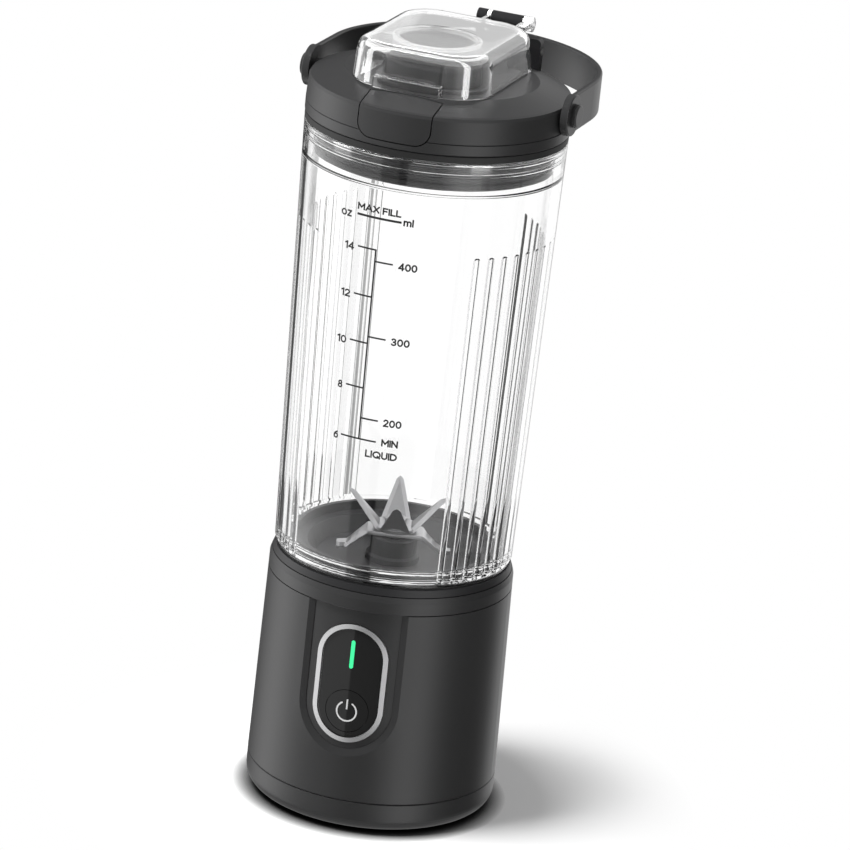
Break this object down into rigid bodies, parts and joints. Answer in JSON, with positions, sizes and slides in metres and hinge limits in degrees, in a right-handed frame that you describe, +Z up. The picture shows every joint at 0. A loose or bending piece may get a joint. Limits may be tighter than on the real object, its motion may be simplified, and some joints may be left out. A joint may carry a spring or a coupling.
{
  "type": "cordless blender",
  "caption": "Cordless portable blender: round motor base with a lit control panel, ribbed clear jar, and a screw lid with flip cap and carrying loop.",
  "frame": {"origin": "centre of the resting face under the base, on the axis of the jar", "axes": "+Z up along the jar axis, -Y towards the control panel, +X to the right seen from the front"},
  "size_m": [0.0904, 0.1024, 0.2505],
  "materials": {
    "charcoal_plastic": "fine matte",
    "soft_black_plastic": "matte",
    "inner_plastic": "moulded",
    "gloss_black": "gloss",
    "chrome_trim": "polished",
    "clear_plastic": "clear",
    "clear_silicone": "translucent",
    "black_rubber": "matte",
    "foam": "matte",
    "blade_steel": "brushed",
    "plain_steel": "zinc",
    "motor_steel": "drawn",
    "magnet": "sintered",
    "copper_winding": "lacquered",
    "circuit_board": "solder mask",
    "cell_wrap": "shrink wrap",
    "green_light": "lit"
  },
  "bodies": {
    "base": {"base_cap": "charcoal_plastic", "foot_pad": "black_rubber", "base_screws": "plain_steel", "motor_housing": "charcoal_plastic", "base_collar": "charcoal_plastic", "panel_ring": "chrome_trim", "panel_inlay": "gloss_black", "light_bar": "green_light", "led_chip": "inner_plastic", "control_board": "circuit_board", "button_switch": "plain_steel", "motor_can": "motor_steel", "motor_end_cap": "soft_black_plastic", "motor_magnets": "magnet", "motor_mount": "inner_plastic", "motor_screws": "plain_steel", "mount_screws": "plain_steel", "battery_holder": "inner_plastic", "battery_cells": "cell_wrap", "cell_pads": "foam", "charge_board": "circuit_board", "charge_socket": "plain_steel", "blade_deck": "soft_black_plastic", "deck_screws": "plain_steel", "spindle_bearings": "plain_steel", "shaft_seal": "black_rubber", "jar_seal": "black_rubber"},
    "button": {"power_button": "gloss_black"},
    "drive_line": {"armature": "copper_winding", "motor_shaft": "plain_steel", "drive_coupling": "soft_black_plastic", "blade_spindle": "plain_steel", "lower_blade": "blade_steel", "blade_washer": "plain_steel", "upper_blade": "blade_steel", "blade_nut": "plain_steel"},
    "port_flap": {"port_cover": "black_rubber"},
    "jar_body": {"jar": "clear_plastic"},
    "lid": {"lid_shell": "charcoal_plastic", "lid_collar": "charcoal_plastic", "lid_gasket": "black_rubber", "lid_plug": "soft_black_plastic", "plug_seal": "black_rubber", "lever_pin": "plain_steel", "lever_spring": "plain_steel", "spout_block": "charcoal_plastic", "hinge_tower": "soft_black_plastic", "tower_pin": "plain_steel", "cap_hinge_pin": "plain_steel", "handle_pins": "charcoal_plastic"},
    "lever": {"release_lever": "charcoal_plastic"},
    "cap": {"flip_cap": "clear_plastic", "cap_seal": "clear_silicone"},
    "handle": {"handle_strap": "charcoal_plastic"}
  },
  "joints": [
    {"name": "button_press", "type": "slide", "parent": "base", "child": "button", "axis": [0, 1, 0], "range_m": [0, 0.0005], "stiffness_N_per_m": 800},
    {"name": "blade_spin", "type": "hinge", "parent": "base", "child": "drive_line", "pos_m": [0, 0, 0.08], "axis": [0, 0, 1], "continuous": true},
    {"name": "port_cover_swing", "type": "hinge", "parent": "base", "child": "port_flap", "pos_m": [0, 0.03938, 0.0158], "axis": [-1, 0, 0], "range_deg": [0, 110]},
    {"name": "jar_lift", "type": "slide", "parent": "base", "child": "jar_body", "axis": [0, 0, 1], "range_m": [0, 0.06]},
    {"name": "lid_lift", "type": "slide", "parent": "jar_body", "child": "lid", "axis": [0, 0, 1], "range_m": [0, 0.03]},
    {"name": "lever_press", "type": "hinge", "parent": "lid", "child": "lever", "pos_m": [-0.00316, -0.03687, 0.2301], "axis": [0.9963, -0.0854, 0], "range_deg": [0, 4], "stiffness_Nm_per_rad": 0.3},
    {"name": "cap_flip", "type": "hinge", "parent": "lid", "child": "cap", "pos_m": [0.00256, 0.02989, 0.2482], "axis": [-0.9963, 0.0854, 0], "range_deg": [0, 110]},
    {"name": "handle_swing", "type": "hinge", "parent": "lid", "child": "handle", "pos_m": [0, 0, 0.2308], "axis": [0.9963, -0.0854, 0], "range_deg": [0, 180]}
  ]
}
